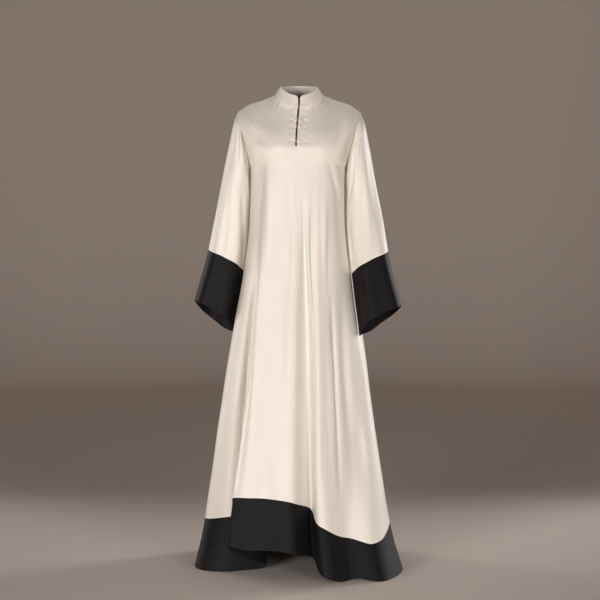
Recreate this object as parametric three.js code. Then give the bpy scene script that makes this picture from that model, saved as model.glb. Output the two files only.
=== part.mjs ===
// A long, closed abaya as it hangs on a wearer: two body panels with a buttoned neck slit, a stand
// collar, long bell sleeves, and wide black bands at the cuffs and the hem.
// Millimetres. +Z is up, the front faces -Y, and the wearer's left is +X. The origin is midway between
// the two neck points, where the shoulders carry the garment.

import * as THREE from 'three';

// ---- driving dimensions ----

const clothThickness = 1.5;
const bandThickness = 2;
const stripThickness = 1;
const seamGap = 0.3;
const bandSeamGap = 0.88;
const collarGap = 0.45;
const underarmEase = 2.2; // the sleeve starts this far outside the panels at the underarm
const mouthSkew = 0.6; // a cuff's front edge bows more towards the body
const shoulderLevels = 2; // below this level the sleeve turns a corner at the armhole seam

const floorHeight = -1500;
const underarmHeight = -234;

const neckHalfWidth = 73;
const neckPointDepth = 4;
const neckPointHeight = -1;
const frontNeckReach = 70;
const frontNeckDrop = 38;
const backNeckReach = 58;
const backNeckRise = 3;
const neckShare = 0.4; // of a panel's half width, up to the neck point

const shoulderHalfWidth = 197;
const shoulderDepth = 6;

const slitHalfAngle = 1; // degrees round the body, about 2.8 mm
const slitRows = 9;
const slitLean = -9;
const slitLeanSpread = 24; // degrees

const bustForward = 13;
const bustHeight = -172;
const bustAcross = 74;
const bustSpread = 62;

const cornerSpread = 16; // degrees, over which the corner at the neck point softens below it
const topFade = 2; // how soon the neckline's and shoulders' own curve eases into the chest

const bodiceRows = 13;
const skirtRows = 12;
const bandRows = 3;

const sleeveRows = 12;
const cuffRows = 3;

const collarHeight = 31;
const collarLean = 30; // degrees inwards at the sides
const collarFrontLean = 14;
const collarCornerRadius = 15;
const collarRows = 4;

const stripOuterAngle = 5.4; // degrees round the body
const stripEndRow = 10;
const stripInset = 0.5;

const buttonRadius = 3.6;
const buttonHeight = 3.4;
const buttonAngle = 3.1;
const loopRadius = 0.9;
const loopHalfSpread = 4.9;
const loopTailAngle = -3.9;
const loopClearance = 0.9;
const closureHeights = [-46, -90, -112, -157];

const colours = { cream: 0xe9e0d2, black: 0x232021, button: 0xe6dccb };

// ---- tables: a row for each section or fold ----

function table(columns, rows) {
  const names = columns.split(' ');
  return rows.map((row) => Object.fromEntries(names.map((name, i) => [name, row[i]])));
}

// The body's ovals. fullness under 1 squares an oval off towards the sides, and shift is its middle's
// place across the body.
const bodySections = table('z halfWidth front back fullness shift', [
  [-234, 149, 134, 108, 0.7, -4],
  [-330, 149, 139, 107, 0.74, -6],
  [-432, 153, 143, 110, 0.8, -6],
  [-563, 171, 152, 122, 0.86, -5],
  [-762, 208, 170, 146, 0.92, -5],
  [-976, 241, 194, 176, 1, -8],
  [-1232, 277, 230, 216, 1, -9],
  [-1417, 310, 262, 250, 1, -6],
  [-1500, 333, 280, 275, 1, -3],
]);

// Ridges and valleys of the skirt, where they end at the hem. turn is in degrees round the body from
// the front centre, lift is the hem's height over the floor, start is where the fold begins, growth
// over 1 keeps it small for longer, and band is the hem band's depth there.
const folds = table('turn x y lift start growth band', [
  [-90, -319, 15, 2, -700, 1.35, 155],
  [-78, -331, -62, 0, -700, 1.35, 156],
  [-68, -296, -132, 0, -520, 1.2, 165],
  [-60, -196, -154, 4, -460, 1.1, 172],
  [-54, -100, -106, 10, -420, 1.1, 166],
  [-50, -128, -172, 44, -420, 1.1, 158],
  [-45, -212, -236, 88, -420, 1.1, 149],
  [-33, -150, -275, 92, -520, 1.35, 158],
  [-16, -62, -290, 92, -560, 1.35, 154],
  [-3, -8, -284, 80, -320, 0.9, 154],
  [6, 46, -220, 56, -300, 0.75, 150],
  [13, 61, -288, 28, -300, 0.85, 152],
  [23, 96, -312, 10, -480, 1.2, 150],
  [30, 132, -292, 0, -800, 1.35, 139],
  [38, 172, -264, 5, -1000, 1.35, 121],
  [50, 250, -290, 0, -1080, 1.35, 120],
  [58, 290, -237, 0, -900, 1.35, 123],
  [66, 319, -160, 2, -700, 1.35, 142],
  [90, 317, 20, 2, -700, 1.35, 155],
  [104, 320, 112, 0, -700, 1.35, 155],
  [117, 246, 164, 4, -600, 1.35, 155],
  [130, 240, 250, 0, -560, 1.35, 150],
  [147, 142, 218, 6, -480, 1.35, 158],
  [164, 96, 306, 0, -520, 1.35, 150],
  [182, 2, 232, 10, -440, 1.2, 158],
  [199, -84, 312, 0, -500, 1.35, 150],
  [215, -158, 226, 6, -520, 1.35, 158],
  [231, -236, 262, 0, -560, 1.35, 150],
  [244, -250, 170, 4, -620, 1.35, 155],
  [256, -320, 118, 0, -700, 1.35, 155],
  [270, -319, 15, 2, -700, 1.35, 155],
]);

// Edges of the armhole and the centre lines, from the top of a panel to the underarm.
const frontArmhole = table('share x y z', [
  [0, 197, 6, -58],
  [0.3, 188, -32, -94],
  [0.6, 174, -50, -146],
  [0.84, 156, -38, -211],
  [0.93, 151, -20, -230],
  [1, 149, 0, -234],
]);
const backArmhole = table('share x y z', [
  [0, 197, 6, -58],
  [0.3, 188, 44, -96],
  [0.6, 174, 58, -150],
  [0.84, 156, 42, -212],
  [0.93, 151, 22, -230],
  [1, 149, 0, -234],
]);
const frontCentre = table('share y z', [
  [0, -66, -39],
  [0.3, -93, -93],
  [0.55, -119, -140],
  [0.7, -131, -174],
  [1, -134, -234],
]);
const backCentre = table('share y z', [
  [0, 62, 2],
  [0.3, 97, -62],
  [0.6, 107, -132],
  [1, 108, -234],
]);
const shoulderLine = table('share z', [
  [0, -1],
  [0.38, -20],
  [0.76, -36.5],
  [1, -58],
]);

// Rings of the sleeves below the armhole, from the shoulder side (outer) to the body side (inner).
// frontRise and backDrop bow an edge off the line between the two, and pinch sharpens its ends. The
// last two rows are the cuff's seam and its open end.
const sleeveColumns = 'outerX outerZ innerX innerZ y halfDepth frontRise backDrop pinch';
const rightSleeveRings = table(sleeveColumns, [
  [205, -84, 159, -246, 2, 60, 0, 0, 0],
  [219, -146, 159, -268, 2, 63, 0, 0, 0.15],
  [244, -262, 160, -338, 8, 61, 0, 0, 0.3],
  [268, -384, 166, -450, 18, 58, 0, 2, 0.4],
  [292, -496, 179, -563, 30, 58, 9, 8, 0.45],
  [338, -656, 208, -757, 48, 58, 18, 22, 0.5],
]);
const leftSleeveRings = table(sleeveColumns, [
  [206, -84, 151, -246, 0, 60, 0, 0, 0],
  [219, -146, 150, -268, -4, 63, 0, 0, 0.15],
  [240, -262, 149, -338, -12, 60, 0, 0, 0.3],
  [262, -384, 153, -450, -28, 58, 0, 2, 0.4],
  [281, -502, 167, -571, -58, 56, 9, 6, 0.45],
  [322, -670, 190, -764, -96, 54, 22, 14, 0.5],
]);

// Soft folds down a sleeve. around is in degrees from the shoulder side over the front.
const sleeveFolds = table('around out spread start', [
  [48, 7, 20, 0.15],
  [82, -8, 18, 0.22],
  [116, 8, 20, 0.3],
  [150, -5, 16, 0.35],
  [216, 6, 18, 0.3],
  [250, -8, 18, 0.2],
  [292, 7, 22, 0.25],
]);

// ---- small maths ----

const degrees = Math.PI / 180;
const mix = (a, b, t) => a + (b - a) * t;
const clamp = (value, low, high) => Math.min(high, Math.max(low, value));
const bell = (distance, spread) => Math.exp(-((distance / spread) ** 2));
const point = (x, y, z) => new THREE.Vector3(x, y, z);

// A smooth curve through the values at the given keys, clamped to the first and the last key.
function smoothThrough(keys, values, key) {
  const last = keys.length - 1;
  const k = clamp(key, Math.min(keys[0], keys[last]), Math.max(keys[0], keys[last]));
  const rising = keys[last] > keys[0];
  let i = 0;
  while (i < last - 1 && (rising ? k > keys[i + 1] : k < keys[i + 1])) i += 1;
  const span = keys[i + 1] - keys[i];
  const slope = (j) => (values[j + 1] - values[j]) / (keys[j + 1] - keys[j]);
  const tangent = (j) => {
    if (j === 0) return slope(0);
    if (j === last) return slope(last - 1);
    const before = keys[j] - keys[j - 1];
    const after = keys[j + 1] - keys[j];
    return (slope(j - 1) * after + slope(j) * before) / (before + after);
  };
  const t = (k - keys[i]) / span;
  const rise = values[i + 1] - values[i];
  const a = tangent(i) * span - rise;
  const b = rise - tangent(i + 1) * span;
  return mix(values[i], values[i + 1], t) + t * (1 - t) * (a * (1 - t) + b * t);
}

function readTable(rows, keyColumn, column, key) {
  return smoothThrough(rows.map((row) => row[keyColumn]), rows.map((row) => row[column]), key);
}

// ---- the skirt: ovals with folds that grow towards the hem ----

const sinTurn = (turn) => Math.sin(turn * degrees);
const cosTurn = (turn) => Math.cos(turn * degrees);

function ovalPoint(turn, z) {
  const read = (column) => readTable(bodySections, 'z', column, z);
  const cosine = cosTurn(turn);
  const reach = cosine > 0 ? read('front') : read('back');
  const x = read('shift') + read('halfWidth') * sinTurn(turn);
  return point(x, -Math.sign(cosine) * reach * Math.abs(cosine) ** read('fullness'), z);
}

// Each fold's offset from the plain oval at the hem.
const foldTurns = folds.map((fold) => fold.turn);
const foldOffsets = folds.map((fold) => {
  const plain = ovalPoint(fold.turn, floorHeight + fold.lift);
  return { x: fold.x - plain.x, y: fold.y - plain.y };
});

function wrapTurn(turn) {
  return ((((turn + 90) % 360) + 360) % 360) - 90;
}

function hemHeight(turn) {
  return floorHeight + Math.max(0, smoothThrough(foldTurns, folds.map((fold) => fold.lift), turn));
}

// share runs from 0 at the underarm to 1 at the hem.
function skirtPoint(anyTurn, share) {
  const turn = wrapTurn(anyTurn);
  const z = mix(underarmHeight, hemHeight(turn), share);
  const result = ovalPoint(turn, z);
  const grown = folds.map((fold) => {
    const way = clamp((fold.start - z) / (fold.start - floorHeight - fold.lift), 0, 1);
    return way ** fold.growth;
  });
  result.x += smoothThrough(foldTurns, foldOffsets.map((offset, i) => offset.x * grown[i]), turn);
  result.y += smoothThrough(foldTurns, foldOffsets.map((offset, i) => offset.y * grown[i]), turn);
  return result;
}

// Where the hem band begins, measured up the cloth from the hem.
function bandStart(anyTurn) {
  const turn = wrapTurn(anyTurn);
  const depth = smoothThrough(foldTurns, folds.map((fold) => fold.band), turn);
  const step = 1 / 200;
  let share = 1;
  let length = 0;
  while (length < depth) {
    length += skirtPoint(turn, share).distanceTo(skirtPoint(turn, share - step));
    share -= step;
  }
  return share;
}

// ---- the bodice: from the shoulder seams and the neckline down to the underarm ----

// A panel's side, -1 or 1, and its distance from the panel's centre, 0 to 1.
function across(turn, isBack) {
  const away = (isBack ? turn - 180 : turn) / 90;
  return { side: isBack ? -Math.sign(away) : Math.sign(away), share: Math.min(1, Math.abs(away)) };
}

function topPoint(turn, isBack) {
  const { side, share } = across(turn, isBack);
  if (share <= neckShare) {
    const sweep = (share / neckShare) * 90;
    const cosine = cosTurn(sweep);
    const y = isBack ? backNeckReach * cosine : -frontNeckReach * cosine;
    const z = isBack ? backNeckRise * cosine : -frontNeckDrop * cosine ** 1.5;
    return point(side * neckHalfWidth * sinTurn(sweep), neckPointDepth + y, neckPointHeight + z);
  }
  const way = (share - neckShare) / (1 - neckShare);
  const x = mix(neckHalfWidth, shoulderHalfWidth, way);
  const y = mix(neckPointDepth, shoulderDepth, way);
  return point(side * x, y, readTable(shoulderLine, 'share', 'z', way));
}

// The top edge as it acts on the cloth below it, where the corner at the neck point is soft.
function softTop(turn, share, isBack) {
  const spread = cornerSpread * Math.min(1, share * 8) * (1 - across(turn, isBack).share ** 4);
  const steps = [-1, -0.5, 0, 0.5, 1];
  const sum = steps.reduce((total, step) => total.add(topPoint(turn + step * spread, isBack)), point(0, 0, 0));
  return sum.divideScalar(steps.length);
}

function bodicePoint(turn, share, isBack) {
  const { side, share: away } = across(turn, isBack);
  const armhole = isBack ? backArmhole : frontArmhole;
  const centre = isBack ? backCentre : frontCentre;
  const bottom = skirtPoint(turn, 0);
  const fade = 1 - (1 - share) ** topFade;
  const result = softTop(turn, share, isBack).lerp(bottom, fade);
  const edge = away ** 2;
  for (const axis of ['x', 'y', 'z']) {
    const straight = (rows) => mix(rows[0][axis], rows[rows.length - 1][axis], fade);
    const ease = readTable(armhole, 'share', axis, share) - straight(armhole);
    result[axis] += edge * ease * (axis === 'x' ? side : 1);
    if (axis !== 'x') {
      const sag = readTable(centre, 'share', axis, share) - straight(centre);
      result[axis] += (1 - edge) * sag;
    }
  }
  if (!isBack) {
    const fromBust = Math.hypot(Math.abs(result.x) - bustAcross, result.z - bustHeight);
    result.y -= bustForward * bell(fromBust, bustSpread) * (1 - away ** 4) * Math.min(1, 4 * (1 - share));
    result.x += slitLean * share * bell(turn, slitLeanSpread) * Math.min(1, 3 * (1 - share));
  }
  return result;
}

// A panel's point. level runs from 0 at the top to bodiceRows at the underarm, and on to the hem band.
function panelPoint(turn, level, isBack) {
  if (level <= bodiceRows) return bodicePoint(turn, level / bodiceRows, isBack);
  return skirtPoint(turn, ((level - bodiceRows) / skirtRows) * bandStart(turn));
}

function crossNormal(pointAt, row, column, rowStep, columnStep, edges) {
  const low = clamp(row - rowStep, edges.rowLow, edges.rowHigh);
  const high = clamp(row + rowStep, edges.rowLow, edges.rowHigh);
  const left = clamp(column - columnStep, edges.columnLow, edges.columnHigh);
  const right = clamp(column + columnStep, edges.columnLow, edges.columnHigh);
  const down = pointAt(high, column).sub(pointAt(low, column));
  const along = pointAt(row, right).sub(pointAt(row, left));
  return down.cross(along).normalize();
}

const angleStep = 0.4; // degrees, for slopes
const levelStep = 0.05;

function skirtNormal(turn, share) {
  const pointAt = (row, column) => skirtPoint(column, row);
  const edges = { rowLow: 0, rowHigh: 1, columnLow: -Infinity, columnHigh: Infinity };
  return crossNormal(pointAt, share, turn, 0.004, angleStep, edges);
}

// Square to a skirt row's own chords on both sides of a column, and a little longer where they meet in
// a sharp fold, so that the wall keeps its thickness round it.
function foldNormal(row, j, turn, share) {
  if (j === 0 || j === row.length - 1) return skirtNormal(turn, share);
  const along = row[j].clone().sub(row[j - 1]).normalize();
  along.add(row[j + 1].clone().sub(row[j]).normalize());
  const below = skirtPoint(turn, Math.min(1, share + 0.004));
  const down = below.sub(skirtPoint(turn, Math.max(0, share - 0.004)));
  return down.cross(along).setLength(1 / Math.max(0.72, along.length() / 2));
}

function bodiceNormal(turn, level, isBack) {
  const pointAt = (row, column) => panelPoint(column, row, isBack);
  const centre = isBack ? 180 : 0;
  const edges = { rowLow: 0, rowHigh: bodiceRows, columnLow: centre - 90, columnHigh: centre + 90 };
  return crossNormal(pointAt, level, turn, levelStep, angleStep, edges);
}

// Both panels share one direction along the shoulder seam, so that their edges meet face to face.
function panelNormal(turn, level, isBack) {
  if (level >= bodiceRows) return skirtNormal(turn, ((level - bodiceRows) / skirtRows) * bandStart(turn));
  const own = bodiceNormal(turn, level, isBack);
  const { share } = across(turn, isBack);
  if (level > 0 || share < neckShare - 0.001) return own;
  return own.add(bodiceNormal(180 - turn, 0, !isBack)).normalize();
}

// ---- walls ----

// A closed wall round a grid of points. keep says which quads are cloth.
function wall(points, normals, thickness, { closed = false, keep = () => true } = {}) {
  const rows = points.length;
  const columns = points[0].length;
  const count = rows * columns;
  const positions = new Float32Array(count * 6);
  const put = (index, p) => p.toArray(positions, index * 3);
  for (let i = 0; i < rows; i += 1) {
    for (let j = 0; j < columns; j += 1) {
      const index = i * columns + j;
      put(index, points[i][j].clone().addScaledVector(normals[i][j], thickness / 2));
      put(index + count, points[i][j].clone().addScaledVector(normals[i][j], -thickness / 2));
    }
  }
  const faces = [];
  const directed = new Set();
  const quad = (a, b, c, d) => faces.push(a, b, c, a, c, d);
  const lastColumn = closed ? columns : columns - 1;
  for (let i = 0; i < rows - 1; i += 1) {
    for (let j = 0; j < lastColumn; j += 1) {
      if (!keep(i, j)) continue;
      const next = (j + 1) % columns;
      const corners = [i * columns + j, (i + 1) * columns + j, (i + 1) * columns + next, i * columns + next];
      quad(...corners);
      quad(...[0, 3, 2, 1].map((n) => corners[n] + count)); // cut along the same diagonal
      corners.forEach((corner, n) => directed.add(`${corner} ${corners[(n + 1) % 4]}`));
    }
  }
  for (const edge of directed) {
    const [from, to] = edge.split(' ').map(Number);
    if (!directed.has(`${to} ${from}`)) quad(to, from, from + count, to + count);
  }
  const geometry = new THREE.BufferGeometry();
  geometry.setAttribute('position', new THREE.BufferAttribute(positions, 3));
  geometry.setIndex(faces);
  return dropUnused(geometry);
}

function dropUnused(geometry) {
  const old = geometry.getAttribute('position').array;
  const places = new Map();
  const kept = [];
  const faces = Array.from(geometry.index.array, (vertex) => {
    if (!places.has(vertex)) {
      places.set(vertex, places.size);
      kept.push(old[vertex * 3], old[vertex * 3 + 1], old[vertex * 3 + 2]);
    }
    return places.get(vertex);
  });
  const result = new THREE.BufferGeometry();
  result.setAttribute('position', new THREE.Float32BufferAttribute(kept, 3));
  result.setIndex(faces);
  result.computeVertexNormals();
  return result;
}

const abaya = new THREE.Group();
const materials = {
  cream: { color: colours.cream, roughness: 0.42, metalness: 0 },
  black: { color: colours.black, roughness: 0.55, metalness: 0 },
  button: { color: colours.button, roughness: 0.5, metalness: 0 },
};

function addPiece(name, geometry, finish) {
  const mesh = new THREE.Mesh(geometry, new THREE.MeshStandardMaterial(materials[finish]));
  mesh.name = name;
  abaya.add(mesh);
  return mesh;
}

// ---- panels and hem bands ----

// Columns lie on every fold, on the neck points and on the slit's edges, with even steps between.
function panelColumns(from, to, extras, longest) {
  const marks = foldTurns.filter((turn) => turn >= from && turn <= to).concat(extras);
  const sorted = [...new Set(marks)].sort((a, b) => a - b);
  const columns = [sorted[0]];
  for (let i = 1; i < sorted.length; i += 1) {
    const gap = sorted[i] - sorted[i - 1];
    const steps = Math.ceil(gap / longest);
    for (let n = 1; n <= steps; n += 1) columns.push(mix(sorted[i - 1], sorted[i], n / steps));
  }
  return columns;
}

const neckTurn = neckShare * 90;
const frontMarks = [neckTurn, stripOuterAngle, slitHalfAngle].flatMap((turn) => [-turn, turn]);
const frontColumns = panelColumns(-90, 90, frontMarks, 4.6);
const backColumns = panelColumns(90, 270, [180 - neckTurn, 180 + neckTurn], 5);

// Moves a grid's edge rows or columns in by half a seam's gap, square to the seam.
function trimmed(points, { first = 0, last = 0, left = 0, right = 0 }) {
  const bottom = points.length - 1;
  const end = points[0].length - 1;
  const pushed = (grid, i, j, di, dj, distance) => {
    const here = grid[i][j];
    const before = grid[clamp(i - Math.abs(dj), 0, bottom)][clamp(j - Math.abs(di), 0, end)];
    const after = grid[clamp(i + Math.abs(dj), 0, bottom)][clamp(j + Math.abs(di), 0, end)];
    const seam = after.clone().sub(before).normalize();
    const inwards = grid[i + di][j + dj].clone().sub(here);
    inwards.addScaledVector(seam, -inwards.dot(seam));
    return here.clone().add(inwards.setLength(distance));
  };
  const sides = points.map((row, i) => row.map((p, j) => {
    if (left && j === 0) return pushed(points, i, j, 0, 1, left);
    if (right && j === end) return pushed(points, i, j, 0, -1, right);
    return p.clone();
  }));
  return sides.map((row, i) => row.map((p, j) => {
    if (first && i === 0) return pushed(sides, i, j, 1, 0, first);
    if (last && i === bottom) return pushed(sides, i, j, -1, 0, last);
    return p;
  }));
}

function addPanel(name, columns, isBack) {
  const levels = Array.from({ length: bodiceRows + skirtRows + 1 }, (_, i) => i);
  const points = levels.map((level) => columns.map((turn) => panelPoint(turn, level, isBack)));
  const normals = levels.map((level, i) => columns.map((turn, j) => {
    if (level < bodiceRows) return panelNormal(turn, level, isBack);
    return foldNormal(points[i], j, turn, ((level - bodiceRows) / skirtRows) * bandStart(turn));
  }));
  const slit = columns.findIndex((turn) => Math.abs(turn + slitHalfAngle) < 0.001);
  const keep = (i, j) => isBack || i >= slitRows || j !== slit;
  const half = seamGap / 2;
  const cloth = trimmed(points, { first: half, last: bandSeamGap / 2, left: half, right: half });
  addPiece(name, wall(cloth, normals, clothThickness, { keep }), 'cream');
}

function addHemBand(name, columns) {
  const starts = columns.map(bandStart);
  const rows = Array.from({ length: bandRows + 1 }, (_, i) => i / bandRows);
  const shareAt = (row, j) => mix(starts[j], 1, row);
  const points = rows.map((row) => columns.map((turn, j) => skirtPoint(turn, shareAt(row, j))));
  const normals = rows.map((row, i) => columns.map((turn, j) => {
    return foldNormal(points[i], j, turn, shareAt(row, j));
  }));
  const half = seamGap / 2;
  const cloth = trimmed(points, { first: bandSeamGap / 2, left: half, right: half });
  addPiece(name, wall(cloth, normals, bandThickness), 'black');
}

// ---- sleeves and cuffs ----

// The armhole's edge on one side, from the shoulder over the front to the underarm and up the back,
// with the panel's direction there and how far the sleeve turns a corner from it. The +X side runs the
// other way, so that both face outwards.
function armholeRing(side) {
  const ring = [];
  const addEdge = (level, isBack) => {
    const turn = isBack ? 180 - side * 90 : side * 90;
    const here = panelPoint(turn, level, isBack);
    const above = panelPoint(turn, Math.max(0, level - levelStep), isBack);
    const below = panelPoint(turn, Math.min(bodiceRows, level + levelStep), isBack);
    const normal = panelNormal(turn, level, isBack);
    const outwards = below.sub(above).normalize().cross(normal);
    if (isBack === side < 0) outwards.negate();
    const corner = clamp(level / shoulderLevels, 0, 1);
    const place = here.addScaledVector(outwards, seamGap + (corner * clothThickness) / 2);
    place.addScaledVector(normal, underarmEase * clamp((level / bodiceRows - 0.45) / 0.4, 0, 1));
    const around = isBack ? 360 - (level / bodiceRows) * 180 : (level / bodiceRows) * 180;
    ring.push({ around, normal, corner, place });
  };
  for (let level = 0; level <= bodiceRows; level += 1) addEdge(level, false);
  for (let level = bodiceRows - 1; level > 0; level -= 1) addEdge(level, true);
  if (side < 0) return ring;
  return [ring[0], ...ring.slice(1).reverse()];
}

function sleeveRing(row, side, around) {
  const angle = around * degrees;
  const middle = point((side * (row.outerX + row.innerX)) / 2, row.y, (row.outerZ + row.innerZ) / 2);
  const reach = point((side * (row.outerX - row.innerX)) / 2, 0, (row.outerZ - row.innerZ) / 2);
  const place = middle.addScaledVector(reach, Math.cos(angle));
  const swing = Math.sin(angle);
  place.y -= row.halfDepth * swing * Math.abs(swing) ** row.pinch;
  const isFront = swing > 0;
  place.z += swing * (isFront ? row.frontRise * (1 - mouthSkew * Math.cos(angle)) : row.backDrop);
  return place;
}

// A sleeve's surface: way runs from 0 at the armhole to the cuff's seam and on to its end.
function sleeveSurface(side, rings) {
  const armhole = armholeRing(side);
  const middleOf = (row) => point((row.outerX + row.innerX) / 2, row.y, (row.outerZ + row.innerZ) / 2);
  const start = point(173, 3, -144);
  const lengths = [0];
  rings.forEach((row, i) => {
    const before = i ? middleOf(rings[i - 1]) : start;
    lengths.push(lengths[i] + middleOf(row).distanceTo(before));
  });
  const ends = { seam: lengths[lengths.length - 2], hem: lengths[lengths.length - 1] };
  const foldAt = (around, way) => sleeveFolds.reduce((sum, fold) => {
    const growth = clamp((way / ends.hem - fold.start) / (1 - fold.start), 0, 1);
    return sum + fold.out * growth * bell(around - fold.around, fold.spread);
  }, 0);
  const pointAt = (way, j) => {
    const { around, place } = armhole[j];
    const stations = [place, ...rings.map((row) => sleeveRing(row, side, around))];
    const read = (axis) => smoothThrough(lengths, stations.map((p) => p[axis]), way);
    const out = foldAt(around, way);
    const angle = around * degrees;
    return point(
      read('x') + side * out * Math.cos(angle),
      read('y') - out * Math.sin(angle),
      read('z'),
    );
  };
  const normalAt = (way, j) => {
    const count = armhole.length;
    const down = pointAt(Math.min(ends.hem, way + 2), j).sub(pointAt(Math.max(0, way - 2), j));
    const along = pointAt(way, (j + 1) % count).sub(pointAt(way, (j + count - 1) % count));
    return down.cross(along).normalize();
  };
  return { armhole, ends, pointAt, normalAt };
}

function addSleeve(name, cuffName, side, rings) {
  const { armhole, ends, pointAt, normalAt } = sleeveSurface(side, rings);
  const spots = armhole.map((_, j) => j);
  const sleeveWays = Array.from({ length: sleeveRows + 1 }, (_, i) => (ends.seam * i) / sleeveRows);
  const sleevePoints = sleeveWays.map((way) => spots.map((j) => pointAt(way, j)));
  const sleeveNormals = sleeveWays.map((way) => spots.map((j) => normalAt(way, j)));
  sleeveNormals[0] = armhole.map((spot, j) => spot.normal.lerp(normalAt(0, j), spot.corner).normalize());
  const half = seamGap / 2;
  const sleeve = trimmed(sleevePoints, { last: half });
  addPiece(name, wall(sleeve, sleeveNormals, clothThickness, { closed: true }), 'cream');

  const cuffWays = Array.from({ length: cuffRows + 1 }, (_, i) => mix(ends.seam, ends.hem, i / cuffRows));
  const cuffPoints = cuffWays.map((way) => spots.map((j) => pointAt(way, j)));
  const cuffNormals = cuffWays.map((way) => spots.map((j) => normalAt(way, j)));
  const cuff = trimmed(cuffPoints, { first: half });
  addPiece(cuffName, wall(cuff, cuffNormals, bandThickness, { closed: true }), 'black');
}

// ---- collar ----

function addCollar() {
  const isNeck = (share) => share <= neckShare + 0.001;
  const leftFront = frontColumns.filter((turn) => turn <= -slitHalfAngle && isNeck(-turn / 90)).reverse();
  const back = backColumns.filter((turn) => isNeck(Math.abs(turn - 180) / 90)).reverse();
  const rightFront = frontColumns.filter((turn) => turn >= slitHalfAngle && isNeck(turn / 90)).reverse();
  const spots = [
    ...leftFront.map((turn) => ({ turn, isBack: false })),
    ...back.slice(1, -1).map((turn) => ({ turn, isBack: true })),
    ...rightFront.map((turn) => ({ turn, isBack: false })),
  ];
  const bases = spots.map(({ turn, isBack }) => {
    const here = panelPoint(turn, 0, isBack);
    const below = panelPoint(turn, levelStep, isBack);
    return here.clone().addScaledVector(here.clone().sub(below).normalize(), collarGap);
  });
  const runs = [0];
  for (let j = 1; j < bases.length; j += 1) runs.push(runs[j - 1] + bases[j].distanceTo(bases[j - 1]));
  const total = runs[runs.length - 1];
  const heightAt = (run) => {
    const fromEnd = Math.min(run, total - run);
    const drop = clamp(1 - fromEnd / collarCornerRadius, 0, 1);
    return collarHeight - collarCornerRadius * (1 - Math.sqrt(1 - drop ** 2)) * 0.8;
  };
  const centre = point(0, neckPointDepth, 0);
  const riseOf = (j) => {
    const inward = centre.clone().sub(bases[j]).setZ(0).normalize();
    const sideways = Math.abs(inward.x);
    const lean = mix(collarFrontLean, collarLean, sideways) * degrees;
    return point(0, 0, Math.cos(lean)).addScaledVector(inward, Math.sin(lean));
  };
  const pointAt = (way, j) => bases[j].clone().addScaledVector(riseOf(j), way * heightAt(runs[j]));
  const ways = Array.from({ length: collarRows + 1 }, (_, i) => i / collarRows);
  const edges = { rowLow: 0, rowHigh: 1, columnLow: 0, columnHigh: bases.length - 1 };
  const normalAt = (way, j) => crossNormal(pointAt, way, j, 0.1, 1, edges);
  const points = ways.map((way) => bases.map((_, j) => pointAt(way, j)));
  const normals = ways.map((way) => bases.map((_, j) => normalAt(way, j)));
  normals[0] = spots.map(({ turn, isBack }) => panelNormal(turn, 0, isBack));
  addPiece('collar', wall(points, normals, clothThickness), 'cream');
}

// ---- placket strips, buttons and loops ----

// The front panel's level at a height on its centre line.
function levelAtHeight(z) {
  let low = 0;
  let high = bodiceRows;
  for (let n = 0; n < 30; n += 1) {
    const middle = (low + high) / 2;
    if (panelPoint(0, middle, false).z > z) low = middle;
    else high = middle;
  }
  return (low + high) / 2;
}

// The front panel's own flat faces, which what lies on them keeps clear of.
function onFront(turn, level, lift) {
  const above = clamp(Math.floor(level), 0, bodiceRows - 1);
  const right = clamp(frontColumns.findIndex((column) => column > turn), 1, frontColumns.length - 1);
  const [west, east] = [frontColumns[right - 1], frontColumns[right]];
  const down = level - above;
  const along = (turn - west) / (east - west);
  const corner = (column, row) => {
    const normal = panelNormal(column, row, false);
    return panelPoint(column, row, false).addScaledVector(normal, lift);
  };
  const upper = corner(west, above).lerp(corner(east, above), along);
  return upper.lerp(corner(west, above + 1).lerp(corner(east, above + 1), along), down);
}

const stripLift = clothThickness / 2 + seamGap + stripThickness / 2;
const stripTop = stripLift + stripThickness / 2;

function addStrip(name, side) {
  const levels = Array.from({ length: stripEndRow + 1 }, (_, i) => i);
  const isOnStrip = (turn) => turn * side >= slitHalfAngle - 0.001 && turn * side <= stripOuterAngle + 0.001;
  const turns = frontColumns.filter(isOnStrip);
  const points = levels.map((level) => turns.map((turn) => onFront(turn, level, stripLift)));
  const normals = levels.map((level) => turns.map((turn) => panelNormal(turn, level, false)));
  const strip = trimmed(points, { first: stripInset * 2, left: stripInset, right: stripInset });
  addPiece(name, wall(strip, normals, stripThickness), 'cream');
}

// A small domed button that stands off the strip along the cloth's own direction.
function addButton(name, level) {
  const sides = 10;
  const profile = [
    [0, 0],
    [0.55 * buttonRadius, 0],
    [0.6 * buttonRadius, 0.3 * buttonHeight],
    [buttonRadius, 0.5 * buttonHeight],
    [0.8 * buttonRadius, 0.86 * buttonHeight],
    [0, buttonHeight],
  ].map(([x, y]) => new THREE.Vector2(x, y));
  const mesh = addPiece(name, new THREE.LatheGeometry(profile, sides), 'button');
  mesh.position.copy(onFront(buttonAngle, level, stripTop + seamGap));
  mesh.quaternion.setFromUnitVectors(point(0, 1, 0), panelNormal(buttonAngle, level, false));
}

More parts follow.
